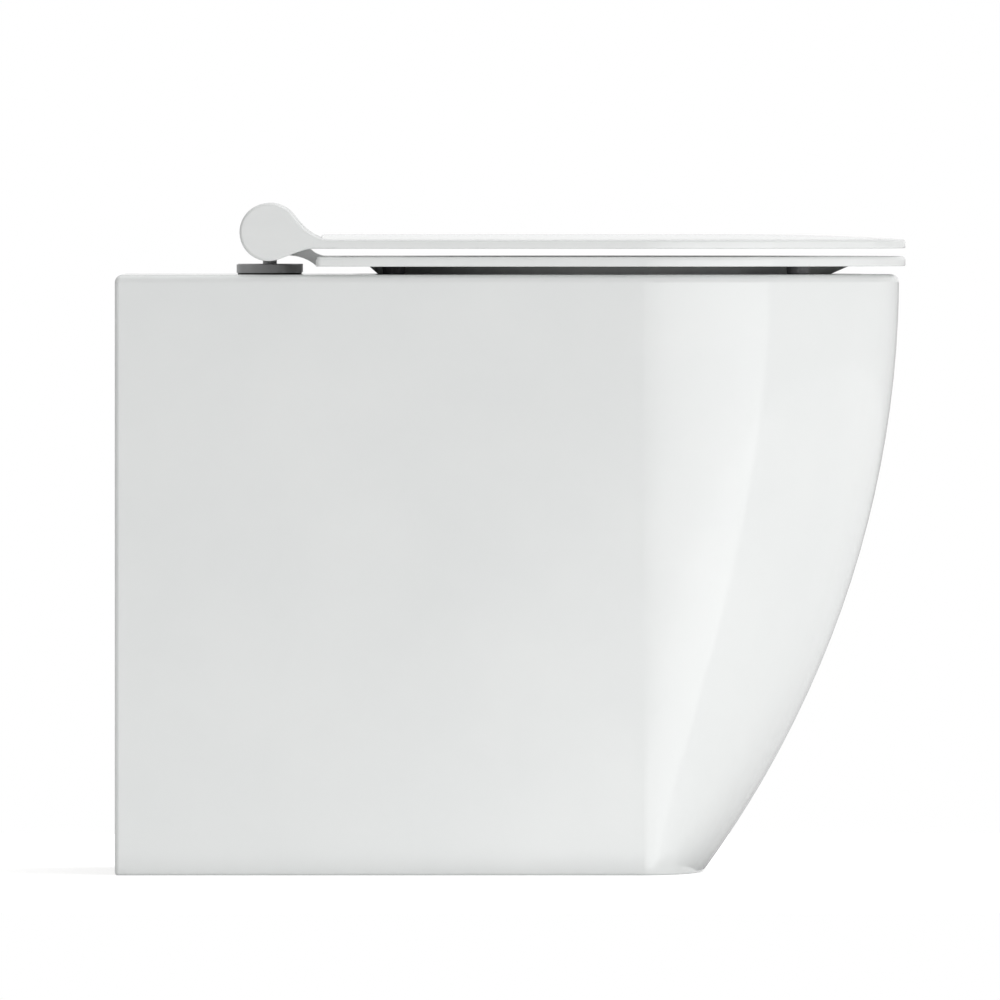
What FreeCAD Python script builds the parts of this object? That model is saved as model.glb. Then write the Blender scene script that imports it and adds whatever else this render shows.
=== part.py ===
"""Back-to-wall floor-standing toilet: ceramic pan, seat ring, lid and soft-close hinges.

Millimetres. +X runs from the wall to the front of the pan and +Z is up. The origin lies on the
floor, under the middle of the overall box. Distances called "from the wall" run along +X from
the wall plane that the pan's back stands against. Left is -Y, as seen from the front.
"""
import FreeCAD, Part
import math
import os

from FreeCAD import Vector

# Pan, outside
pan_depth = 550.0
pan_width = 360.0
pan_height = 420.0
foot_depth = 412.0
shell_wall = 12.0
deck_thickness = 14.0
rim_edge_radius = 5.5
rear_edge_radius = 3.0
foot_edge_radius = 2.0

# Bowl
mouth_rear = 172.0
rim_front_width = 30.0
rim_side_width = 35.0
mouth_edge_radius = 7.0
sump_from_wall = 320.0
sump_half_length = 46.0
sump_half_width = 44.0
sump_floor = 62.0
bowl_wall = 11.0
sump_floor_wall = 14.0

# Trapway and waste outlet
outlet_height = 180.0
outlet_radius = 51.0
outlet_wall = 12.0
trap_bend_radius = 55.0
trap_rise_from_wall = 215.0
trap_peak_from_wall = 140.0
trap_peak_height = 275.0
trap_fall_from_wall = 45.0

# Flush inlet and its rubber seal
inlet_height = 335.0
inlet_face = 25.0
horn_radius = 38.0
inlet_socket_radius = 28.0
inlet_socket_depth = 40.0
inlet_bore_radius = 22.0
flush_pipe_radius = 22.5
seal_flange_radius = 36.0
seal_flange_thickness = 5.0
seal_lip_radius = 1.5

# Hinge stations
hinge_from_wall = 107.5
hinge_spacing = 155.0
deck_hole_radius = 7.5
gasket_radius = 22.0
gasket_thickness = 1.0
base_radius = 22.9
base_height = 6.0
base_edge_radius = 0.4
base_boss_length = 5.0
post_radius = 4.5
post_gap = 2.45
post_cover = 1.0
stud_radius = 3.0
stud_length = 40.0
post_chamfer = 0.5

# Fixings under the deck
bush_flange_radius = 15.0
bush_flange_thickness = 3.0
bush_neck_length = 6.0
washer_radius = 11.0
washer_thickness = 1.5
nut_radius = 8.0
nut_height = 9.0
wing_span = 34.0
wing_thickness = 4.0
wing_height = 14.0
wing_shoulder = 3.0
wing_tip = 5.0

# Hinge body and what turns in it
lid_barrel_radius = 20.3
seat_barrel_radius = 15.0
hinge_body_radius = 19.0
hinge_body_length = 30.0
hinge_body_chamfer = 1.0
ear_side_gap = 0.4
damper_radius = 9.0
damper_length = 20.0
damper_wall = 2.0
rotor_flange_thickness = 2.0
rotor_shaft_radius = 4.5
rotor_flat = 3.0
rotor_vane_thickness = 3.0
drive_length = 18.0
pivot_radius = 6.0
pivot_seat_depth = 8.0
pivot_length = 18.0
ear_bush_wall = 2.0
set_screw_radius = 2.0
set_screw_length = 6.5
set_screw_socket = 1.2

# Seat ring
seat_overhang_front = 4.5
seat_overhang_side = 2.0
seat_rear = 140.5
seat_gap = 5.6
seat_thickness = 7.0
seat_corner_radius = 4.0
seat_top_radius = 2.5
seat_under_radius = 1.0
seat_ear_width = 24.0
seat_arm_reach = 40.5
seat_arm_blend = 17.0
seat_arm_foot = 33.2
seat_arm_under_reach = 13.9
seat_arm_under_blend = 28.7
lip_clearance = 5.0
lip_rear_draft = 10.0
lip_front_draft = 20.0
lip_side_draft = 10.0
lip_dip = 3.0
opening_inset = 26.0
opening_edge_radius = 4.0

# Seat bumpers
bumper_radius = 8.0
bumper_edge_radius = 1.0
bumper_plug_radius = 3.0
bumper_plug_length = 4.0
bumper_rest_gap = 0.3
rear_bumper_from_wall = 195.0
rear_bumper_spacing = 216.0
front_bumper_setback = 72.0
front_bumper_spacing = 244.0

# Lid
lid_gap = 5.5
lid_thickness = 6.3
lid_crown = 3.6
lid_level_half = 60.0
lid_rear = 144.0
lid_corner_radius = 12.0
lid_top_radius = 2.0
lid_under_radius = 1.0
lid_ear_upper_reach = 45.0
lid_ear_upper_blend = 30.0
lid_ear_lower_reach = 31.4
lid_ear_lower_blend = 25.0
lid_ear_edge_radius = 2.0
lid_recess_inset = 14.0
lid_recess_depth = 2.5
lid_recess_corner = 12.0

# Fits, as radial clearances
running_clearance = 0.05
seated_clearance = 0.02
passing_clearance = 0.3

# Sections through which the free-form skins are lofted
pan_sections = 7
bowl_sections = 7

# How far cutting tools run past a face, and how close two places are that count as one
cut_past = 10.0
same_place = 0.001

# Heights and places that follow from the sizes above
overall_depth = pan_depth + seat_overhang_front
wall_x = -overall_depth / 2
half_width = pan_width / 2
side_straight = pan_depth - half_width
post_y = hinge_spacing / 2
base_bottom = pan_height + gasket_thickness
base_top = base_bottom + base_height
axis_z = base_top + post_gap + lid_barrel_radius
post_top = axis_z - damper_radius - post_cover
hinge_body_inner = post_y - hinge_body_length / 2
hinge_body_outer = post_y + hinge_body_length / 2
lid_ear_inner = hinge_body_outer + ear_side_gap
seat_ear_outer = hinge_body_inner - ear_side_gap
seat_bottom = pan_height + seat_gap
seat_top = seat_bottom + seat_thickness
seat_front = pan_depth + seat_overhang_front
seat_half_width = half_width + seat_overhang_side
front_bumper_from_wall = pan_depth - front_bumper_setback
lid_bottom = seat_top + lid_gap
lid_edge_top = lid_bottom + lid_thickness
lid_peak = lid_edge_top + lid_crown
mouth_front = pan_depth - rim_front_width
mouth_half_width = half_width - rim_side_width
mouth_centre = (mouth_rear + mouth_front) / 2
mouth_half_length = (mouth_front - mouth_rear) / 2
bore_radius = outlet_radius - outlet_wall
deck_underside = pan_height - deck_thickness
bush_bottom = deck_underside - bush_flange_thickness
washer_bottom = bush_bottom - washer_thickness
screw_z = (axis_z - hinge_body_radius + post_top) / 2
left = -1
right = 1


def at(from_wall, y, z):
    """The point at a distance from the wall."""
    return Vector(wall_x + from_wall, y, z)


def cylinder_x(radius, length, start):
    return Part.makeCylinder(radius, length, start, Vector(1, 0, 0))


def cylinder_y(radius, near, far):
    """A cylinder on the hinge axis, between two places along Y."""
    low = min(near, far)
    return Part.makeCylinder(radius, abs(far - near), at(hinge_from_wall, low, axis_z), Vector(0, 1, 0))


def cylinder_z(radius, bottom, top, from_wall, y):
    return Part.makeCylinder(radius, top - bottom, at(from_wall, y, bottom))


def edges_level_at(shape, height):
    """Edges that lie flat at one height."""
    found = []
    for edge in shape.Edges:
        box = edge.BoundBox
        if abs(box.ZMin - height) < same_place and abs(box.ZMax - height) < same_place:
            found.append(edge)
    return found


def edges_between(edges, rear, front):
    """Those edges that lie between two distances from the wall."""
    found = []
    for edge in edges:
        box = edge.BoundBox
        if box.XMin > wall_x + rear and box.XMax < wall_x + front:
            found.append(edge)
    return found


def end_edges(shape):
    """Edges round the two flat ends of a shape that lies along Y."""
    return [edge for edge in shape.Edges if edge.BoundBox.YLength < same_place]


def quarter_ellipses(from_wall, z, half_length, half_breadth):
    """Four edges of a level ellipse, from its -Y end round by +X, +Y and -X."""
    centre = at(from_wall, 0, z)
    along = Vector(half_length, 0, 0)
    across = Vector(0, half_breadth, 0)
    if half_length >= half_breadth:
        ellipse = Part.Ellipse(centre + along, centre + across, centre)
        start = -math.pi / 2
    else:
        ellipse = Part.Ellipse(centre + across, centre - along, centre)
        start = -math.pi
    quarter = math.pi / 2
    return [
        Part.ArcOfEllipse(ellipse, start + i * quarter, start + (i + 1) * quarter).toShape()
        for i in range(4)
    ]


def ellipse_wire(from_wall, z, half_length, half_breadth):
    return Part.Wire(quarter_ellipses(from_wall, z, half_length, half_breadth))


def front_at(z):
    """The pan's front outline: one arc, upright at the rim and leaning back to the foot."""
    setback = pan_depth - foot_depth
    radius = (setback ** 2 + pan_height ** 2) / (2 * setback)
    return pan_depth - radius + math.sqrt(radius ** 2 - (pan_height - z) ** 2)


def pan_section(z, inset, back):
    """A level section: square at the back, straight sides, half an ellipse at the front."""
    breadth = half_width - inset
    nose = quarter_ellipses(side_straight, z, front_at(z) - side_straight - inset, breadth)[:2]
    corners = [
        at(side_straight, breadth, z), at(back, breadth, z),
        at(back, -breadth, z), at(side_straight, -breadth, z),
    ]
    sides = [Part.LineSegment(corners[i], corners[i + 1]).toShape() for i in range(3)]
    return Part.Wire(nose + sides)


def pan_skin(bottom, top, inset, back):
    heights = [bottom + (top - bottom) * i / pan_sections for i in range(pan_sections + 1)]
    return Part.makeLoft([pan_section(z, inset, back) for z in heights], True, False)


def pan_outside():
    """The glazed outer form with its rounded edges."""
    wall_side = Part.makeBox(
        cut_past, pan_width + 2 * cut_past, pan_height, at(-cut_past, -half_width - cut_past, 0)
    )
    body = pan_skin(0, pan_height, 0, -cut_past / 2).cut(wall_side)
    back_edges = edges_between(body.Edges, -rear_edge_radius, rear_edge_radius)
    upright = [edge for edge in back_edges if edge.BoundBox.ZLength > pan_height / 2]
    body = body.makeFillet(rear_edge_radius, upright)
    body = body.makeFillet(rim_edge_radius, edges_level_at(body, pan_height))
    return body.makeFillet(foot_edge_radius, edges_level_at(body, 0))


def bowl_skin(offset, floor, top):
    """The bowl's wall, easing from the sump out to the mouth."""
    sections = []
    for i in range(bowl_sections + 1):
        z = floor + (top - floor) * i / bowl_sections
        rise = min(max((z - sump_floor) / (pan_height - sump_floor), 0), 1)
        spread = rise ** 2 * (3 - 2 * rise)
        centre = sump_from_wall + (mouth_centre - sump_from_wall) * spread
        length = sump_half_length + (mouth_half_length - sump_half_length) * spread
        breadth = sump_half_width + (mouth_half_width - sump_half_width) * spread
        sections.append(ellipse_wire(centre, z, length + offset, breadth + offset))
    return Part.makeLoft(sections, True, False)


def rounded_path(points, radius):
    """Straight runs joined by tangent arcs."""
    edges = []
    start = points[0]
    for before, corner, after in zip(points, points[1:], points[2:]):
        towards = (before - corner).normalize()
        away = (after - corner).normalize()
        half_angle = towards.getAngle(away) / 2
        reach = radius / math.tan(half_angle)
        middle = (towards + away).normalize() * (radius / math.sin(half_angle) - radius)
        arc_start = corner + towards * reach
        arc_end = corner + away * reach
        edges.append(Part.LineSegment(start, arc_start).toShape())
        edges.append(Part.Arc(arc_start, corner + middle, arc_end).toShape())
        start = arc_end
    edges.append(Part.LineSegment(start, points[-1]).toShape())
    return Part.Wire(edges)


def trap_tube(radius, back):
    """The trapway: out of the sump, up over the weir and down to the outlet in the back."""
    dip = sump_floor + bore_radius
    points = [
        at(sump_from_wall, 0, dip),
        at(trap_rise_from_wall, 0, dip),
        at(trap_peak_from_wall, 0, trap_peak_height),
        at(trap_fall_from_wall, 0, outlet_height),
        at(back, 0, outlet_height),
    ]
    section = Part.Wire(Part.makeCircle(radius, points[0], Vector(1, 0, 0)))
    return rounded_path(points, trap_bend_radius).makePipeShell([section], True, False)


def bowl_outside():
    """The bowl's outer form, up to the underside of the deck."""
    return bowl_skin(bowl_wall, sump_floor - sump_floor_wall, deck_underside)


def pan_shell():
    """Skirt and deck of the casting, hollow below, open at the back, with the bowl's mouth in its top."""
    shell = pan_outside()
    shell = shell.cut(pan_skin(-cut_past, deck_underside, shell_wall, -cut_past))
    shell = shell.cut(bowl_skin(0, sump_floor, pan_height + cut_past))
    for side in (left, right):
        hole = cylinder_z(deck_hole_radius, deck_underside, pan_height, hinge_from_wall, side * post_y)
        shell = shell.cut(hole)
    mouth = edges_between(
        edges_level_at(shell, pan_height), mouth_rear - mouth_edge_radius, mouth_front + mouth_edge_radius
    )
    return shell.makeFillet(mouth_edge_radius, mouth).removeSplitter()


def pan_bowl():
    """Bowl and sump of the casting, under the deck round its mouth."""
    bowl = bowl_outside().cut(bowl_skin(0, sump_floor, pan_height + cut_past))
    bowl = bowl.cut(trap_tube(bore_radius, 0))
    return bowl.cut(inlet_bore()).removeSplitter()


def pan_trapway():
    """Trapway of the casting, from the back of the sump to the outlet spigot."""
    tube = trap_tube(outlet_radius, 0).cut(bowl_outside())
    return tube.cut(trap_tube(bore_radius, -cut_past)).removeSplitter()


def inlet_bore():
    """The flush water's way into the bowl."""
    return cylinder_x(inlet_bore_radius, sump_from_wall - inlet_face, at(inlet_face, 0, inlet_height))


def pan_flush_horn():
    """Flush horn of the casting, with the socket for the inlet seal in its end."""
    centre = at(inlet_face, 0, inlet_height)
    horn = cylinder_x(horn_radius, sump_from_wall - inlet_face, centre)
    horn = horn.cut(bowl_outside()).cut(inlet_bore())
    return horn.cut(cylinder_x(inlet_socket_radius, inlet_socket_depth, centre)).removeSplitter()


def flush_inlet_seal():
    """Rubber sleeve pressed into the flush horn, with a flange behind and a lip round the pipe."""
    outer = inlet_socket_radius - seated_clearance
    centre = at(inlet_face, 0, inlet_height)
    flange_back = at(inlet_face - seal_flange_thickness, 0, inlet_height)
    seal = cylinder_x(outer, inlet_socket_depth, centre)
    seal = seal.fuse(cylinder_x(seal_flange_radius, seal_flange_thickness, flange_back))
    seal = seal.cut(cylinder_x(flush_pipe_radius, inlet_socket_depth + seal_flange_thickness, flange_back))
    back_edges = [edge for edge in seal.Edges if edge.BoundBox.XMax < flange_back.x + same_place]
    return seal.makeFillet(seal_lip_radius, back_edges)


def hinge_gasket(side):
    """Rubber washer between the hinge base and the deck."""
    gasket = cylinder_z(gasket_radius, pan_height, base_bottom, hinge_from_wall, side * post_y)
    return gasket.cut(cylinder_z(deck_hole_radius, pan_height, base_bottom, hinge_from_wall, side * post_y))


def hinge_base(side):
    """Round metal base, with a boss that centres it in the deck hole."""
    y = side * post_y
    disc = cylinder_z(base_radius, base_bottom, base_top, hinge_from_wall, y)
    disc = disc.makeFillet(base_edge_radius, edges_level_at(disc, base_top))
    boss_radius = deck_hole_radius - passing_clearance
    boss_bottom = base_bottom - base_boss_length
    base = disc.fuse(cylinder_z(boss_radius, boss_bottom, base_bottom, hinge_from_wall, y))
    return base.cut(cylinder_z(stud_radius + seated_clearance, boss_bottom, base_top, hinge_from_wall, y))


def hinge_post(side):
    """Steel post: a plain pin above the base and a stud down through the deck."""
    y = side * post_y
    pin = cylinder_z(post_radius, base_top, post_top, hinge_from_wall, y)
    pin = pin.makeChamfer(post_chamfer, edges_level_at(pin, post_top))
    stud = cylinder_z(stud_radius, pan_height - stud_length, base_top, hinge_from_wall, y)
    stud = stud.makeChamfer(post_chamfer, edges_level_at(stud, pan_height - stud_length))
    return pin.fuse(stud)


def fixing_bush(side):
    """Plastic bush under the deck, with a neck that fills the hole round the stud."""
    y = side * post_y
    flange = cylinder_z(bush_flange_radius, bush_bottom, deck_underside, hinge_from_wall, y)
    neck_radius = deck_hole_radius - passing_clearance
    neck = cylinder_z(neck_radius, bush_bottom, deck_underside + bush_neck_length, hinge_from_wall, y)
    hole = cylinder_z(
        stud_radius + running_clearance, bush_bottom, deck_underside + bush_neck_length, hinge_from_wall, y
    )
    return flange.fuse(neck).cut(hole)


def fixing_washer(side):
    y = side * post_y
    disc = cylinder_z(washer_radius, washer_bottom, bush_bottom, hinge_from_wall, y)
    hole = cylinder_z(stud_radius + running_clearance, washer_bottom, bush_bottom, hinge_from_wall, y)
    return disc.cut(hole)


def wing_nut(side):
    """Moulded nut with two wings that flare down past its hub."""
    y = side * post_y
    bottom = washer_bottom - nut_height
    nut = cylinder_z(nut_radius, bottom, washer_bottom, hinge_from_wall, y)
    for reach in (-1, 1):
        inner = reach * nut_radius / 2
        outline = [
            at(hinge_from_wall + inner, y, washer_bottom - wing_shoulder),
            at(hinge_from_wall + reach * nut_radius, y, washer_bottom - wing_shoulder),
            at(hinge_from_wall + reach * wing_span / 2, y, bottom + nut_height - wing_height + wing_tip),
            at(hinge_from_wall + reach * wing_span / 2, y, bottom + nut_height - wing_height),
            at(hinge_from_wall + reach * nut_radius, y, bottom),
            at(hinge_from_wall + inner, y, bottom),
        ]
        face = Part.Face(Part.makePolygon(outline + outline[:1]))
        face.translate(Vector(0, -wing_thickness / 2, 0))
        nut = nut.fuse(face.extrude(Vector(0, wing_thickness, 0)))
    hole = cylinder_z(stud_radius + running_clearance, bottom, washer_bottom, hinge_from_wall, y)
    return nut.cut(hole)


def damper_span(side):
    """Where a hinge's damper has its mouth along Y, and which way the cup runs from there."""
    if side == left:
        return side * hinge_body_outer, -side
    return side * hinge_body_inner, side


def pivot_span(side):
    """Where a hinge's pivot pin leaves the hinge body, and which way it points."""
    if side == left:
        return side * hinge_body_inner, -side
    return side * hinge_body_outer, side


def hinge_body(side):
    """Cast body on the post, bored for its damper at one end and its pivot pin at the other."""
    y = side * post_y
    body = cylinder_y(hinge_body_radius, side * hinge_body_inner, side * hinge_body_outer)
    body = body.makeChamfer(hinge_body_chamfer, end_edges(body))
    mouth, inward = damper_span(side)
    body = body.cut(cylinder_y(damper_radius + seated_clearance, mouth, mouth + inward * damper_length))
    mouth, outward = pivot_span(side)
    body = body.cut(cylinder_y(pivot_radius + seated_clearance, mouth, mouth - outward * pivot_seat_depth))
    body = body.cut(cylinder_z(post_radius + seated_clearance, base_top, post_top, hinge_from_wall, y))
    back = at(hinge_from_wall - hinge_body_radius, y, screw_z)
    return body.cut(cylinder_x(set_screw_radius + seated_clearance, hinge_body_radius, back))


def set_screw(side):
    """Grub screw that clamps the hinge body to its post, with a hexagon socket in its end."""
    y = side * post_y
    tip = hinge_from_wall - post_radius
    tail = at(tip - set_screw_length, y, screw_z)
    screw = cylinder_x(set_screw_radius, set_screw_length, tail)
    corners = [
        tail + Vector(0, math.cos(i * math.pi / 3), math.sin(i * math.pi / 3)) * set_screw_socket
        for i in range(6)
    ]
    socket = Part.Face(Part.makePolygon(corners + corners[:1])).extrude(Vector(set_screw_length / 2, 0, 0))
    return screw.cut(socket)


def damper_housing(side):
    """Cup of the rotary damper, open at its mouth."""
    mouth, inward = damper_span(side)
    cup = cylinder_y(damper_radius, mouth, mouth + inward * damper_length)
    hollow_radius = damper_radius - damper_wall
    return cup.cut(cylinder_y(hollow_radius, mouth, mouth + inward * (damper_length - damper_wall)))


def flatted_shaft(radius, flat, near, far):
    """Round shaft with two flats, which drives an ear."""
    shaft = cylinder_y(radius, near, far)
    low = min(near, far)
    corner = at(hinge_from_wall - radius, low, axis_z - flat)
    return shaft.common(Part.makeBox(2 * radius, abs(far - near), 2 * flat, corner))


def damper_rotor(side):
    """Rotor: a vaned shaft in the cup, a flange that closes the cup, and a flatted drive end."""
    mouth, inward = damper_span(side)
    turning_radius = damper_radius - damper_wall - running_clearance
    tail = mouth + inward * (damper_length - damper_wall - running_clearance)
    rotor = cylinder_y(rotor_shaft_radius, mouth, tail)
    rotor = rotor.fuse(cylinder_y(turning_radius, mouth, mouth + inward * rotor_flange_thickness))
    low = min(mouth, tail)
    corner = at(hinge_from_wall - damper_radius, low, axis_z - rotor_vane_thickness / 2)
    vane = Part.makeBox(2 * damper_radius, abs(tail - mouth), rotor_vane_thickness, corner)
    rotor = rotor.fuse(vane.common(cylinder_y(turning_radius, mouth, tail)))
    drive_end = mouth - inward * (ear_side_gap + drive_length)
    drive = flatted_shaft(rotor_shaft_radius, rotor_flat, mouth, drive_end)
    return rotor.fuse(drive).removeSplitter()


def pivot_pin(side):
    """Plain pin fixed in the hinge body, on which an ear turns."""
    mouth, outward = pivot_span(side)
    tip = mouth + outward * (ear_side_gap + pivot_length)
    pin = cylinder_y(pivot_radius, mouth - outward * pivot_seat_depth, tip)
    return pin.makeChamfer(post_chamfer, end_edges(pin))


def ear_bush(side):
    """Plastic bush in the ear that turns on the pivot pin."""
    mouth, outward = pivot_span(side)
    near = mouth + outward * ear_side_gap
    far = near + outward * pivot_length
    bush = cylinder_y(pivot_radius + running_clearance + ear_bush_wall, near, far)
    return bush.cut(cylinder_y(pivot_radius + running_clearance, near, far))


def ear_sockets(ear, drive_side):
    """Cuts the drive socket in the ear on one side and the bush's bore in the ear on the other."""
    mouth, inward = damper_span(drive_side)
    ear = ear.cut(flatted_shaft(
        rotor_shaft_radius + seated_clearance, rotor_flat + seated_clearance,
        mouth, mouth - inward * (ear_side_gap + drive_length + seated_clearance),
    ))
    mouth, outward = pivot_span(-drive_side)
    bush_radius = pivot_radius + running_clearance + ear_bush_wall + seated_clearance
    bush_end = mouth + outward * (ear_side_gap + pivot_length + running_clearance)
    return ear.cut(cylinder_y(bush_radius, mouth, bush_end))


def plan_outline(rear, front, breadth, corner, inset, z):
    """Plan of the seat and lid: straight rear edge, rounded corners, straight sides, round front."""
    rear = rear + inset
    radius = breadth - inset
    centre = front - breadth
    diagonal = corner * (1 - math.sqrt(0.5))
    edges = []
    for side in (left, right):
        start = at(rear, side * (radius - corner), z)
        end = at(rear + corner, side * radius, z)
        middle = at(rear + diagonal, side * (radius - diagonal), z)
        edges.append(Part.Arc(start, middle, end).toShape())
        edges.append(Part.LineSegment(end, at(centre, side * radius, z)).toShape())
    nose = Part.Arc(at(centre, -radius, z), at(centre + radius, 0, z), at(centre, radius, z))
    edges.append(nose.toShape())
    edges.append(Part.LineSegment(at(rear, corner - radius, z), at(rear, radius - corner, z)).toShape())
    return Part.Face(Part.Wire(Part.__sortEdges__(edges)))


def on_axis(out, up):
    """A point in the upright plane through the hinge axis, measured from the axis."""
    return at(hinge_from_wall + out, 0, axis_z + up)


def neck(barrel, centre, blend, end, above):
    """One side of a neck, a line off the barrel and a concave arc to an end, and where it leaves."""
    sign = 1 if above else -1
    lean = math.asin((barrel + blend) / centre.Length)
    heading = math.atan2(centre.z, centre.x) - sign * lean
    across = Vector(-math.sin(heading), 0, math.cos(heading)) * sign
    leaving = across * barrel
    entering = centre - across * blend
    between = centre + (entering + end - centre * 2).normalize() * blend
    places = [on_axis(point.x, point.z) for point in (leaving, entering, between, end)]
    return [Part.LineSegment(*places[:2]).toShape(), Part.Arc(*places[1:]).toShape()], places[0]


def extruded_ear(edges, inner, outer, side):
    face = Part.Face(Part.Wire(Part.__sortEdges__(edges)))
    face.translate(Vector(0, min(side * inner, side * outer), 0))
    return face.extrude(Vector(0, outer - inner, 0))


def lid_ear(side):
    """Ear of the lid: a round barrel, blended into the plate above and below, out to the lid's side."""
    top = lid_edge_top - axis_z
    bottom = lid_bottom - axis_z
    front = lid_rear + lid_recess_inset - hinge_from_wall
    upper_end = Vector(lid_ear_upper_reach, 0, top)
    upper_centre = upper_end + Vector(0, 0, lid_ear_upper_blend)
    lower_end = Vector(lid_ear_lower_reach, 0, bottom)
    lower_centre = lower_end - Vector(0, 0, lid_ear_lower_blend)
    upper, upper_start = neck(lid_barrel_radius, upper_centre, lid_ear_upper_blend, upper_end, True)
    lower, lower_start = neck(lid_barrel_radius, lower_centre, lid_ear_lower_blend, lower_end, False)
    edges = upper + lower + [
        Part.Arc(upper_start, on_axis(-lid_barrel_radius, 0), lower_start).toShape(),
        Part.LineSegment(on_axis(lid_ear_upper_reach, top), on_axis(front, top)).toShape(),
        Part.LineSegment(on_axis(front, top), on_axis(front, bottom)).toShape(),
        Part.LineSegment(on_axis(front, bottom), on_axis(lid_ear_lower_reach, bottom)).toShape(),
    ]
    ear = extruded_ear(edges, lid_ear_inner, seat_half_width, side)
    return ear.makeFillet(lid_ear_edge_radius, end_edges(ear))


def seat_ear(side):
    """Arm of the seat: a barrel that dips to the plate in front of the hinge, hollowed underneath."""
    top = seat_top - axis_z
    bottom = seat_bottom - axis_z
    upper_end = Vector(seat_arm_reach, 0, top)
    upper_centre = upper_end + Vector(0, 0, seat_arm_blend)
    foot = Vector(seat_arm_foot, 0, bottom)
    drop = math.sqrt(seat_arm_under_blend ** 2 - (seat_arm_foot - seat_arm_under_reach) ** 2)
    under_centre = Vector(seat_arm_under_reach, 0, bottom - drop)
    upper, upper_start = neck(seat_barrel_radius, upper_centre, seat_arm_blend, upper_end, True)
    under, under_start = neck(seat_barrel_radius, under_centre, seat_arm_under_blend, foot, False)
    edges = upper + under + [
        Part.Arc(upper_start, on_axis(-seat_barrel_radius, 0), under_start).toShape(),
        Part.LineSegment(on_axis(seat_arm_reach, top), on_axis(seat_arm_reach, bottom)).toShape(),
        Part.LineSegment(on_axis(seat_arm_reach, bottom), on_axis(seat_arm_foot, bottom)).toShape(),
    ]
    return extruded_ear(edges, seat_ear_outer - seat_ear_width, seat_ear_outer, side)


def bumper_places(from_wall, spacing):
    return [(from_wall, side * spacing / 2) for side in (left, right)]


def seat_ring():
    """Thin ring with a tapered lip that dips into the bowl's mouth, and two hinge arms."""
    plate = plan_outline(seat_rear, seat_front, seat_half_width, seat_corner_radius, 0, seat_bottom)
    ring = plate.extrude(Vector(0, 0, seat_thickness))
    ring = ring.makeFillet(seat_top_radius, edges_level_at(ring, seat_top))
    ring = ring.makeFillet(seat_under_radius, edges_level_at(ring, seat_bottom))
    lip_bottom = pan_height - lip_dip
    length = mouth_half_length - lip_clearance
    breadth = mouth_half_width - lip_clearance
    lip_centre = mouth_centre + (lip_rear_draft - lip_front_draft) / 2
    lip_length = length - (lip_rear_draft + lip_front_draft) / 2
    ring = ring.fuse(Part.makeLoft([
        ellipse_wire(lip_centre, lip_bottom, lip_length, breadth - lip_side_draft),
        ellipse_wire(mouth_centre, seat_bottom, length, breadth),
    ], True, True))
    opening_length = length - opening_inset
    opening = Part.Face(ellipse_wire(mouth_centre, lip_bottom, opening_length, breadth - opening_inset))
    ring = ring.cut(opening.extrude(Vector(0, 0, seat_top - lip_bottom)))
    within = opening_length + opening_edge_radius / 2
    level_edges = edges_level_at(ring, seat_top) + edges_level_at(ring, lip_bottom)
    opening_edges = edges_between(level_edges, mouth_centre - within, mouth_centre + within)
    ring = ring.makeFillet(opening_edge_radius, opening_edges)
    for side in (left, right):
        ring = ring.fuse(seat_ear(side))
    places = bumper_places(rear_bumper_from_wall, rear_bumper_spacing)
    places += bumper_places(front_bumper_from_wall, front_bumper_spacing)
    for from_wall, y in places:
        hole_top = seat_bottom + bumper_plug_length + seated_clearance
        hole = cylinder_z(bumper_plug_radius + seated_clearance, seat_bottom, hole_top, from_wall, y)
        ring = ring.cut(hole)
    return ear_sockets(ring, right).removeSplitter()


def seat_bumpers(from_wall, spacing):
    """A pair of bumpers, each with a plug in the seat's underside."""
    bumpers = []
    for place, y in bumper_places(from_wall, spacing):
        foot = pan_height + bumper_rest_gap
        pad = cylinder_z(bumper_radius, foot, seat_bottom, place, y)
        pad = pad.makeFillet(bumper_edge_radius, edges_level_at(pad, foot))
        plug_top = seat_bottom + bumper_plug_length
        plug = cylinder_z(bumper_plug_radius, foot + bumper_edge_radius, plug_top, place, y)
        bumpers.append(pad.fuse(plug))
    return Part.makeCompound(bumpers)


def lid_half_section(from_wall, side):
    """Half a section across the crowned lid, from its level middle out past one side."""
    fall_run = seat_half_width - lid_level_half
    fall_radius = (fall_run ** 2 + lid_crown ** 2) / (2 * lid_crown)
    spread = seat_half_width + lid_top_radius
    base = lid_bottom - lid_top_radius
    fall = []
    for reach in (lid_level_half, (lid_level_half + spread) / 2, spread):
        drop = fall_radius - math.sqrt(fall_radius ** 2 - (reach - lid_level_half) ** 2)
        fall.append(at(from_wall, side * reach, lid_peak - drop))
    rest = Part.makePolygon([
        fall[2], at(from_wall, side * spread, base),
        at(from_wall, 0, base), at(from_wall, 0, lid_peak), fall[0],
    ])
    return Part.Face(Part.Wire([Part.Arc(*fall).toShape(), rest]))


def crown_tool():
    """Solid under the lid's crowned top: a vault that ends in a dome over the round front."""
    start = lid_rear - lid_top_radius
    centre = seat_front - seat_half_width
    section = lid_half_section(start, left).fuse(lid_half_section(start, right))
    vault = section.extrude(Vector(centre - start, 0, 0))
    dome = lid_half_section(centre, right).revolve(at(centre, 0, 0), Vector(0, 0, 1), -180)
    return vault.fuse(dome).removeSplitter()


def is_upper_rim(edge, outline):
    """True for an edge that runs round the top of an upright wall over an outline."""
    middle = edge.valueAt((edge.FirstParameter + edge.LastParameter) / 2)
    below = Part.Vertex(middle.x, middle.y, outline.BoundBox.ZMin)
    upright = edge.BoundBox.ZMin < outline.BoundBox.ZMin + same_place
    return not upright and outline.OuterWire.distToShape(below)[0] < same_place


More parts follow.
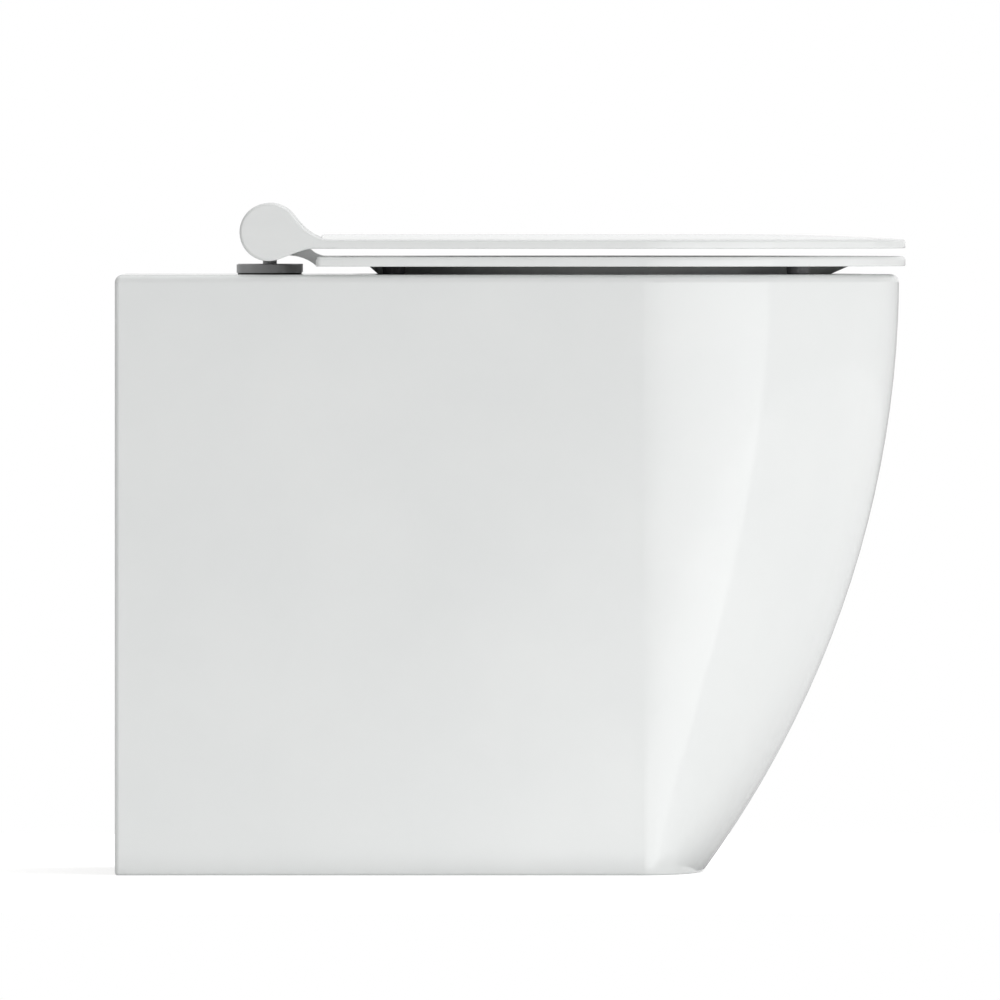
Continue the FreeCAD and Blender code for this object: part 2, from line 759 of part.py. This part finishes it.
def lid():
    """Thin crowned lid, hollowed a little underneath, with two barrel ears."""
    outline = plan_outline(lid_rear, seat_front, seat_half_width, lid_corner_radius, 0, lid_bottom)
    plate = outline.extrude(Vector(0, 0, lid_thickness + lid_crown)).common(crown_tool())
    plate = plate.removeSplitter()
    upper_edges = [edge for edge in plate.Edges if is_upper_rim(edge, outline)]
    plate = plate.makeFillet(lid_top_radius, upper_edges)
    plate = plate.makeFillet(lid_under_radius, edges_level_at(plate, lid_bottom))
    recess = plan_outline(
        lid_rear, seat_front, seat_half_width, lid_recess_corner, lid_recess_inset, lid_bottom
    )
    plate = plate.cut(recess.extrude(Vector(0, 0, lid_recess_depth)))
    for side in (left, right):
        plate = plate.fuse(lid_ear(side))
    return ear_sockets(plate, left).removeSplitter()


side_names = {left: "left", right: "right"}
parts = {
    "pan_shell": pan_shell(),
    "pan_bowl": pan_bowl(),
    "pan_trapway": pan_trapway(),
    "pan_flush_horn": pan_flush_horn(),
    "flush_inlet_seal": flush_inlet_seal(),
    "seat_ring": seat_ring(),
    "seat_bumpers_front": seat_bumpers(front_bumper_from_wall, front_bumper_spacing),
    "seat_bumpers_rear": seat_bumpers(rear_bumper_from_wall, rear_bumper_spacing),
    "lid": lid(),
    "lid_damper_housing": damper_housing(left),
    "lid_damper_rotor": damper_rotor(left),
    "seat_damper_housing": damper_housing(right),
    "seat_damper_rotor": damper_rotor(right),
    "seat_pivot_pin": pivot_pin(left),
    "lid_pivot_pin": pivot_pin(right),
    "seat_ear_bush": ear_bush(left),
    "lid_ear_bush": ear_bush(right),
}
for side, side_name in side_names.items():
    parts["hinge_gasket_" + side_name] = hinge_gasket(side)
    parts["hinge_base_" + side_name] = hinge_base(side)
    parts["hinge_post_" + side_name] = hinge_post(side)
    parts["hinge_body_" + side_name] = hinge_body(side)
    parts["set_screw_" + side_name] = set_screw(side)
    parts["fixing_bush_" + side_name] = fixing_bush(side)
    parts["fixing_washer_" + side_name] = fixing_washer(side)
    parts["wing_nut_" + side_name] = wing_nut(side)

os.makedirs("parts", exist_ok=True)
for name, shape in parts.items():
    shape.exportStep(os.path.join("parts", name + ".step"))
    print(name, shape.isValid(), len(shape.Solids), round(shape.Volume))
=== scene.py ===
"""Looks of the back-to-wall toilet: materials, studio light, floor and camera, in metres."""

import math

import bpy
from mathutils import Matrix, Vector


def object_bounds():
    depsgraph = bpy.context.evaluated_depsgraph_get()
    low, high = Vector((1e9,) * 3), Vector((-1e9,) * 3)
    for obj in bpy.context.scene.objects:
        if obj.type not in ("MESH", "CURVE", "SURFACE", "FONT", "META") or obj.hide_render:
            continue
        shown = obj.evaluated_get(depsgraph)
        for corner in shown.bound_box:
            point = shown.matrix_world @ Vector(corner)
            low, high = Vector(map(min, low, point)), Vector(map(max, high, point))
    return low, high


# Camera: a long lens a little above the seat, framed on the near side as in the photograph
frame_width = 0.699
frame_centre = Vector((-0.0079, -0.18, 0.2625))
lens_mm = 1500.0
sensor_mm = 36.0
camera_height = 0.503

# Places in the pan that bound its glaze
deck_underside = 0.4062
shell_centre = (0.0, 0.0, 0.20)
bowl_centre = (0.06, 0.0, 0.30)
sump_centre = (0.043, 0.0, 0.101)
inlet_height = 0.335
inlet_glaze_radius = 0.0225

# Light levels, where 1 is the white of the background
fill_level = 0.262
background_level = 1.0
overhead_level = 1.08
bounce_level = 0.19
floor_glow = 0.6
floor_glow_mirrored = 0.33

# Upright panels round a point in the nose of the pan: angles to the right of the camera, height and level
nose = Vector((0.13, -0.17, 0.0))
panel_distance = 5.0
panels = {
    "key": ((1.0, 59.0), 2.4, 2.555),
    "right": ((59.0, 107.0), 1.5, 1.48),
    "rear_right": ((107.0, 135.0), 1.5, 0.78),
    "back": ((135.0, 235.0), 2.4, 0.9),
}

# Reflector along the floor and up the feet of the panels: level by angle, and its share near the nose
reflector_levels = ((1.0, 2.4), (9.0, 3.2), (58.0, 3.6), (60.0, 2.5), (125.0, 1.65), (180.0, 0.25))
reflector_near_share = 0.85
reflector_fade = (0.1, 1.2)
reflector_start = 0.03
reflector_lift = 0.002
reflector_top = 0.9
reflector_rear_top = 0.42
reflector_rear_angle = 122.0
reflector_columns = 60

# Card that the flat side mirrors, brighter away from the wall and towards the floor
card_x = (-0.36, 0.099)
card_y = -0.8
card_z = (0.001, 0.52)
card_levels = (1.78, 3.0)
card_slope = (1.0, 0.0, -0.64)
card_fade_from_wall = (0.10, 0.34)

# Overhead panel, panel that lies on the floor in front of the flat side, and the floor itself
overhead_height = 3.0
overhead_size = (3.5, 3.0)
bounce_x = (-0.6, 1.7)
bounce_y = (-1.9, -0.186)
bounce_lift = 0.001
floor_half = 1.6

# Colours: the darker and the lighter end of each material's mottle
glaze_colours = (0.841, 0.857, 0.851), (0.866, 0.880, 0.872)
bare_china_colours = (0.66, 0.63, 0.575), (0.77, 0.745, 0.70)
thermoset_colours = (0.843, 0.857, 0.850), (0.866, 0.879, 0.870)
dark_metal_colours = (0.28, 0.28, 0.285), (0.37, 0.37, 0.375)
steel_colours = (0.34, 0.34, 0.345), (0.50, 0.50, 0.50)
black_rubber_colours = (0.018, 0.018, 0.019), (0.034, 0.034, 0.035)
grey_rubber_colours = (0.050, 0.050, 0.052), (0.085, 0.085, 0.087)
white_nylon_colours = (0.66, 0.66, 0.64), (0.73, 0.73, 0.71)
dark_nylon_colours = (0.045, 0.046, 0.048), (0.065, 0.066, 0.068)
floor_colours = (0.86, 0.86, 0.86), (0.88, 0.88, 0.88)
white = (1.0, 1.0, 1.0, 1.0)
black = (0.0, 0.0, 0.0, 1.0)

# Range that most values of a noise fall in
noise_range = (0.3, 0.7)

# Sockets of a mix node for each kind of data: first input, second input and result
mix_sockets = {"FLOAT": (2, 3, 0), "RGBA": (6, 7, 2)}

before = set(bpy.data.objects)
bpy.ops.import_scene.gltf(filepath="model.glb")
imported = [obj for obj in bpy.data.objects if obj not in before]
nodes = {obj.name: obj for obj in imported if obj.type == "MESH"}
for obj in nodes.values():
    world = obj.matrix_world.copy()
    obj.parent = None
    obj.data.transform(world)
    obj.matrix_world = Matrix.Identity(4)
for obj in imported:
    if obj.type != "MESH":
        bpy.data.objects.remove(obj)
cad_low, cad_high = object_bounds()


class Look:
    """A material's node tree, with short calls that add and link nodes."""

    def __init__(self, name):
        self.material = bpy.data.materials.new(name)
        self.material.use_nodes = True
        self.tree = self.material.node_tree
        self.shader = self.tree.nodes["Principled BSDF"]
        self.place = self.add("ShaderNodeTexCoord").outputs["Object"]

    def add(self, kind, **settings):
        node = self.tree.nodes.new(kind)
        for key, value in settings.items():
            setattr(node, key, value)
        return node

    def link(self, source, target):
        self.tree.links.new(source, target)

    def surface(self, **values):
        """Sets plain values on the shader."""
        for key, value in values.items():
            self.shader.inputs[key.replace("_", " ")].default_value = value

    def noise(self, scale, detail=2.0, roughness=0.5, vector=None):
        node = self.add("ShaderNodeTexNoise")
        node.inputs["Scale"].default_value = scale
        node.inputs["Detail"].default_value = detail
        node.inputs["Roughness"].default_value = roughness
        self.link(vector or self.place, node.inputs["Vector"])
        return node.outputs["Fac"]

    def stretched(self, scale):
        """The place in the object, scaled by a different amount along each axis."""
        node = self.add("ShaderNodeMapping")
        node.inputs["Scale"].default_value = scale
        self.link(self.place, node.inputs["Vector"])
        return node.outputs["Vector"]

    def between(self, factor, low, high, spread=noise_range):
        """A number that runs from low to high as the factor crosses its spread."""
        node = self.add("ShaderNodeMapRange")
        for key, value in zip(("From Min", "From Max", "To Min", "To Max"), (*spread, low, high)):
            node.inputs[key].default_value = value
        self.link(factor, node.inputs["Value"])
        return node.outputs["Result"]

    def colours(self, factor, low, high, spread=noise_range):
        """A colour that runs from low to high as the factor crosses its spread."""
        node = self.add("ShaderNodeValToRGB")
        for stop, place, colour in zip(node.color_ramp.elements, spread, (low, high)):
            stop.position = place
            stop.color = (*colour, 1.0)
        self.link(factor, node.inputs["Fac"])
        return node.outputs["Color"]

    def profile(self, factor, stops):
        """A number that runs straight from stop to stop, each a factor and a value."""
        largest = max(value for _, value in stops)
        first, last = stops[0][0], stops[-1][0]
        node = self.add("ShaderNodeValToRGB")
        elements = node.color_ramp.elements
        while len(elements) < len(stops):
            elements.new(1.0)
        for element, (place, value) in zip(elements, stops):
            element.position = (place - first) / (last - first)
            grey = value / largest
            element.color = (grey, grey, grey, 1.0)
        self.link(self.between(factor, 0.0, 1.0, (first, last)), node.inputs["Fac"])
        return self.combined("MULTIPLY", node.outputs["Color"], largest)

    def combined(self, operation, first, second):
        """Two inputs, each a number or a socket, put together by an operation."""
        node = self.add("ShaderNodeMath", operation=operation)
        for socket, value in zip(node.inputs, (first, second)):
            if isinstance(value, (int, float)):
                socket.default_value = value
            else:
                self.link(value, socket)
        return node.outputs["Value"]

    def mixed(self, factor, first, second, kind="FLOAT"):
        """The first input where the factor is 0, the second where it is 1."""
        node = self.add("ShaderNodeMix", data_type=kind)
        first_input, second_input, result = mix_sockets[kind]
        self.link(factor, node.inputs[0])
        self.link(first, node.inputs[first_input])
        self.link(second, node.inputs[second_input])
        return node.outputs[result]

    def bump(self, height, depth):
        node = self.add("ShaderNodeBump")
        node.inputs["Distance"].default_value = depth
        self.link(height, node.inputs["Height"])
        self.link(node.outputs["Normal"], self.shader.inputs["Normal"])

    def finish(self, colour, roughness):
        self.link(colour, self.shader.inputs["Base Color"])
        self.link(roughness, self.shader.inputs["Roughness"])
        return self.material

    def glow(self, level):
        """Gives off white light at a level, and reflects none."""
        self.surface(Base_Color=black, Emission_Color=white)
        self.link(level, self.shader.inputs["Emission Strength"])
        return self.material


def turned_away(look, centre):
    """Above 0 on faces that look away from a centre, below 0 on faces that look towards it."""
    geometry = look.add("ShaderNodeNewGeometry")
    away = look.add("ShaderNodeVectorMath", operation="SUBTRACT")
    away.inputs[1].default_value = centre
    look.link(look.place, away.inputs[0])
    dot = look.add("ShaderNodeVectorMath", operation="DOT_PRODUCT")
    look.link(away.outputs["Vector"], dot.inputs[0])
    look.link(geometry.outputs["Normal"], dot.inputs[1])
    return dot.outputs["Value"]


def outside(look, centre, underside):
    """1 on faces that look away from a centre, and on all that lies above an underside, else 0."""
    split = look.add("ShaderNodeSeparateXYZ")
    look.link(look.place, split.inputs["Vector"])
    away = look.combined("GREATER_THAN", turned_away(look, centre), 0.0)
    top = look.combined("GREATER_THAN", split.outputs["Z"], underside)
    return look.combined("MAXIMUM", away, top)


def inside(look, centre):
    """1 on faces that look towards a centre, else 0."""
    return look.combined("LESS_THAN", turned_away(look, centre), 0.0)


def in_bore(look, height, radius):
    """1 within a radius of a level axis along X, else 0."""
    off_axis = look.add("ShaderNodeVectorMath", operation="MULTIPLY_ADD")
    off_axis.inputs[1].default_value = (0.0, 1.0, 1.0)
    off_axis.inputs[2].default_value = (0.0, 0.0, -height)
    look.link(look.place, off_axis.inputs[0])
    length = look.add("ShaderNodeVectorMath", operation="LENGTH")
    look.link(off_axis.outputs["Vector"], length.inputs[0])
    return look.combined("LESS_THAN", length.outputs["Value"], radius)


def bare_surface(look):
    """Colour, roughness and grain of unglazed china."""
    stain = look.noise(scale=42.0, detail=6.0, roughness=0.65)
    colour = look.colours(stain, *bare_china_colours)
    roughness = look.between(look.noise(scale=240.0, detail=4.0), low=0.62, high=0.82)
    grain = look.between(look.noise(scale=900.0, detail=4.0, roughness=0.6), low=0.0, high=1.0)
    return colour, roughness, grain


def glazed_china(name, glazed):
    """White glaze on china, which is bare where the mask of the glazed faces stops."""
    look = Look(name)
    bare_colour, bare_rough, grain = bare_surface(look)
    cloud = look.noise(scale=11.0, detail=3.0)
    glaze_colour = look.colours(cloud, *glaze_colours)
    glaze_rough = look.between(look.noise(scale=160.0, detail=3.0), low=0.045, high=0.075)
    ripple = look.between(look.noise(scale=55.0, detail=1.0), low=0.0, high=0.05)
    mask = glazed(look)
    look.surface(IOR=1.52)
    look.bump(look.mixed(mask, grain, ripple), depth=0.0002)
    colour = look.mixed(mask, bare_colour, glaze_colour, "RGBA")
    return look.finish(colour, look.mixed(mask, bare_rough, glaze_rough))


def gloss_thermoset():
    """Pressed white seat plastic: a gloss skin with a faint flow mottle."""
    look = Look("gloss_thermoset")
    streaks = look.stretched((14.0, 26.0, 60.0))
    flow = look.noise(scale=1.0, detail=4.0, roughness=0.6, vector=streaks)
    colour = look.colours(flow, *thermoset_colours)
    roughness = look.between(look.noise(scale=220.0, detail=3.0), low=0.10, high=0.15)
    ripple = look.between(look.noise(scale=130.0, detail=2.0), low=0.0, high=0.04)
    look.surface(IOR=1.50)
    look.bump(ripple, depth=0.0002)
    return look.finish(colour, roughness)


def satin_metal(name, dark, light, smooth, rough, metallic):
    """Turned metal: fine level rings over a soft blotch."""
    look = Look(name)
    grooves = look.stretched((180.0, 180.0, 5200.0))
    rings = look.noise(scale=1.0, detail=4.0, roughness=0.7, vector=grooves)
    blotch = look.noise(scale=90.0, detail=3.0)
    colour = look.colours(look.combined("MULTIPLY", rings, blotch), dark, light, spread=(0.12, 0.45))
    roughness = look.between(rings, smooth, rough)
    look.surface(Metallic=metallic)
    look.bump(rings, depth=0.00002)
    return look.finish(colour, roughness)


def rubber(name, dark, light):
    """Moulded rubber: matt, with a fine bloom."""
    look = Look(name)
    colour = look.colours(look.noise(scale=120.0, detail=5.0, roughness=0.65), dark, light)
    roughness = look.between(look.noise(scale=420.0, detail=3.0), low=0.58, high=0.78)
    look.bump(look.noise(scale=1400.0, detail=3.0), depth=0.00006)
    return look.finish(colour, roughness)


def moulded_plastic(name, dark, light):
    """Moulded plastic with a light spark-eroded texture."""
    look = Look(name)
    colour = look.colours(look.noise(scale=70.0, detail=3.0), dark, light)
    roughness = look.between(look.noise(scale=300.0), low=0.34, high=0.48)
    look.bump(look.noise(scale=2200.0), depth=0.00005)
    return look.finish(colour, roughness)


def dress(node, material):
    mesh = nodes[node].data
    mesh.materials.clear()
    mesh.materials.append(material)


def dress_nodes():
    """Gives every CAD node its material, by the longest name that its own name starts with."""
    plastic = gloss_thermoset()
    dark_metal = satin_metal("dark_satin_metal", *dark_metal_colours, smooth=0.40, rough=0.54, metallic=0.4)
    steel = satin_metal("turned_steel", *steel_colours, smooth=0.24, rough=0.38, metallic=1.0)
    black_rubber = rubber("black_rubber", *black_rubber_colours)
    grey_rubber = rubber("grey_rubber", *grey_rubber_colours)
    white_nylon = moulded_plastic("white_nylon", *white_nylon_colours)
    dark_nylon = moulded_plastic("dark_nylon", *dark_nylon_colours)
    looks = {
        "pan_shell": glazed_china("glazed_shell", lambda look: outside(look, shell_centre, deck_underside)),
        "pan_bowl": glazed_china("glazed_bowl", lambda look: inside(look, bowl_centre)),
        "pan_trapway": glazed_china("glazed_trapway", lambda look: inside(look, sump_centre)),
        "pan_flush_horn": glazed_china(
            "glazed_horn", lambda look: in_bore(look, inlet_height, inlet_glaze_radius)
        ),
        "seat_ring": plastic,
        "lid": plastic,
        "hinge_base": dark_metal,
        "hinge_body": dark_metal,
        "hinge_post": dark_metal,
        "set_screw": steel,
        "fixing_washer": steel,
        "seat_pivot_pin": steel,
        "lid_pivot_pin": steel,
        "flush_inlet_seal": black_rubber,
        "hinge_gasket": black_rubber,
        "seat_bumpers": grey_rubber,
        "fixing_bush": white_nylon,
        "wing_nut": white_nylon,
        "seat_ear_bush": white_nylon,
        "lid_ear_bush": white_nylon,
        "lid_damper": dark_nylon,
        "seat_damper": dark_nylon,
    }
    for node in nodes:
        match = [key for key in looks if node == key or node.startswith(key + "_")]
        dress(node, looks[max(match, key=len)])


def add_sheet(name, rows, material):
    """Studio sheet through rows of corners, flat from one corner to the next."""
    corners = [corner for row in rows for corner in row]
    across = len(rows[0])
    faces = []
    for first in range(len(corners) - across):
        if (first + 1) % across:
            faces.append((first, first + 1, first + across + 1, first + across))
    mesh = bpy.data.meshes.new(name)
    mesh.from_pydata(corners, [], faces)
    mesh.materials.append(material)
    sheet = bpy.data.objects.new(name, mesh)
    bpy.context.collection.objects.link(sheet)
    return sheet


def show_in_glaze_only(sheet):
    sheet.visible_camera = False
    sheet.visible_diffuse = False
    sheet.visible_shadow = False


def larger(tree, first, second):
    node = tree.nodes.new("ShaderNodeMath")
    node.operation = "MAXIMUM"
    tree.links.new(first, node.inputs[0])
    tree.links.new(second, node.inputs[1])
    return node.outputs["Value"]


def seen(tree):
    """1 for camera rays, and 1 for rays that show the background in mirrors and through glass."""
    rays = tree.nodes.new("ShaderNodeLightPath").outputs
    return rays["Is Camera Ray"], larger(tree, rays["Is Glossy Ray"], rays["Is Transmission Ray"])


def add_floor():
    """Pale floor, near white where it is seen, with the object's shadow kept."""
    look = Look("pale_floor")
    colour = look.colours(look.noise(scale=2.0), *floor_colours)
    look.finish(colour, look.between(look.noise(scale=5.0), low=0.9, high=1.0))
    look.surface(Emission_Color=white, Specular_IOR_Level=0.0)
    directly, mirrored = seen(look.tree)
    direct_glow = look.combined("MULTIPLY", directly, floor_glow)
    mirrored_glow = look.combined("MULTIPLY", mirrored, floor_glow_mirrored)
    look.link(larger(look.tree, direct_glow, mirrored_glow), look.shader.inputs["Emission Strength"])
    rows = [[(x, y, 0.0) for x in (-floor_half, floor_half)] for y in (-floor_half, floor_half)]
    add_sheet("floor", rows, look.material)


def add_card():
    """Card in front of the flat side, seen only in the glaze."""
    look = Look("reflector_card")
    slope = look.add("ShaderNodeVectorMath", operation="DOT_PRODUCT")
    slope.inputs[1].default_value = card_slope
    look.link(look.place, slope.inputs[0])
    fade = [cad_low.x + distance for distance in card_fade_from_wall]
    material = look.glow(look.between(slope.outputs["Value"], *card_levels, fade))
    rows = [[(x, card_y, z) for x in card_x] for z in card_z]
    show_in_glaze_only(add_sheet("reflector_card", rows, material))


def round_nose(angle, distance):
    """Point just above the floor at an angle to the right of the camera, as seen from the nose."""
    turn = math.radians(angle)
    return nose + Vector((distance * math.sin(turn), -distance * math.cos(turn), reflector_lift))


def reflector_glow():
    """Light whose level runs with the angle round the nose, and rises with the distance from it."""
    look = Look("reflector")
    away = look.add("ShaderNodeVectorMath", operation="SUBTRACT")
    away.inputs[1].default_value = nose
    look.link(look.place, away.inputs[0])
    split = look.add("ShaderNodeSeparateXYZ")
    look.link(away.outputs["Vector"], split.inputs["Vector"])
    towards_camera = look.combined("MULTIPLY", split.outputs["Y"], -1.0)
    angle = look.combined("ARCTAN2", split.outputs["X"], towards_camera)
    stops = [(math.radians(degrees), level) for degrees, level in reflector_levels]
    distance = look.add("ShaderNodeVectorMath", operation="LENGTH")
    look.link(away.outputs["Vector"], distance.inputs[0])
    share = look.between(distance.outputs["Value"], reflector_near_share, 1.0, reflector_fade)
    return look.glow(look.combined("MULTIPLY", look.profile(angle, stops), share))


def add_reflector():
    """Reflector round the nose, along the floor and up the feet of the panels, seen only in the glaze."""
    first, last = reflector_levels[0][0], reflector_levels[-1][0]
    step = (last - first) / reflector_columns
    angles = [first + step * column for column in range(reflector_columns + 1)]
    near = [round_nose(angle, reflector_start) for angle in angles]
    far = [round_nose(angle, panel_distance) for angle in angles]
    heights = [reflector_rear_top if angle > reflector_rear_angle else reflector_top for angle in angles]
    top = [corner + Vector((0.0, 0.0, height)) for corner, height in zip(far, heights)]
    show_in_glaze_only(add_sheet("reflector", (near, far, top), reflector_glow()))


def add_world():
    """White where it is seen, a plain fill to everything else."""
    world = bpy.data.worlds.new("studio")
    bpy.context.scene.world = world
    world.use_nodes = True
    tree = world.node_tree
    background = tree.nodes["Background"]
    background.inputs["Color"].default_value = white
    level = tree.nodes.new("ShaderNodeMapRange")
    level.inputs["To Min"].default_value = fill_level
    level.inputs["To Max"].default_value = background_level
    tree.links.new(larger(tree, *seen(tree)), level.inputs["Value"])
    tree.links.new(level.outputs["Result"], background.inputs["Strength"])


def add_panel(name, place, target, width, height, level):
    """Soft rectangular light of a given level, square to the point that it faces."""
    light = bpy.data.lights.new(name, "AREA")
    light.shape = "RECTANGLE"
    light.size = width
    light.size_y = height
    light.energy = level * math.pi * width * height
    panel = bpy.data.objects.new(name, light)
    panel.location = place
    panel.rotation_euler = (Vector(target) - Vector(place)).to_track_quat("-Z", "Y").to_euler()
    panel.visible_camera = False
    bpy.context.collection.objects.link(panel)
    return panel


def add_side_panel(name, angles, height, level):
    """Upright panel that fills a range of angles to the right of the camera, and shows in no mirror."""
    middle = math.radians(sum(angles) / 2)
    width = 2 * panel_distance * math.tan(math.radians((angles[1] - angles[0]) / 2))
    aim = nose + Vector((0.0, 0.0, height / 2))
    place = aim + panel_distance * Vector((math.sin(middle), -math.cos(middle), 0.0))
    panel = add_panel(name, place, aim, width, height, level)
    panel.visible_glossy = False


def add_bounce():
    """Panel that lies on the floor and faces up."""
    middle = Vector((sum(bounce_x) / 2, sum(bounce_y) / 2, bounce_lift))
    above = middle + Vector((0.0, 0.0, 1.0))
    add_panel("bounce", middle, above, bounce_x[1] - bounce_x[0], bounce_y[1] - bounce_y[0], bounce_level)


def add_lights():
    for name, (angles, height, level) in panels.items():
        add_side_panel(name, angles, height, level)
    add_reflector()
    add_panel("overhead", (0.0, 0.0, overhead_height), (0.0, 0.0, 0.0), *overhead_size, overhead_level)
    add_bounce()


def add_camera():
    """Looks along +Y, from the side that shows the wall edge at the left."""
    camera_data = bpy.data.cameras.new("camera")
    camera_data.sensor_width = sensor_mm
    camera_data.lens = lens_mm
    distance = frame_width * lens_mm / sensor_mm
    camera_data.clip_end = 2 * distance
    camera = bpy.data.objects.new("camera", camera_data)
    camera.location = (frame_centre.x, frame_centre.y - distance, camera_height)
    camera.rotation_euler = (frame_centre - camera.location).to_track_quat("-Z", "Y").to_euler()
    bpy.context.collection.objects.link(camera)
    bpy.context.scene.camera = camera


dress_nodes()
add_floor()
add_card()
add_world()
add_lights()
add_camera()
bpy.context.scene.view_settings.view_transform = "Standard"
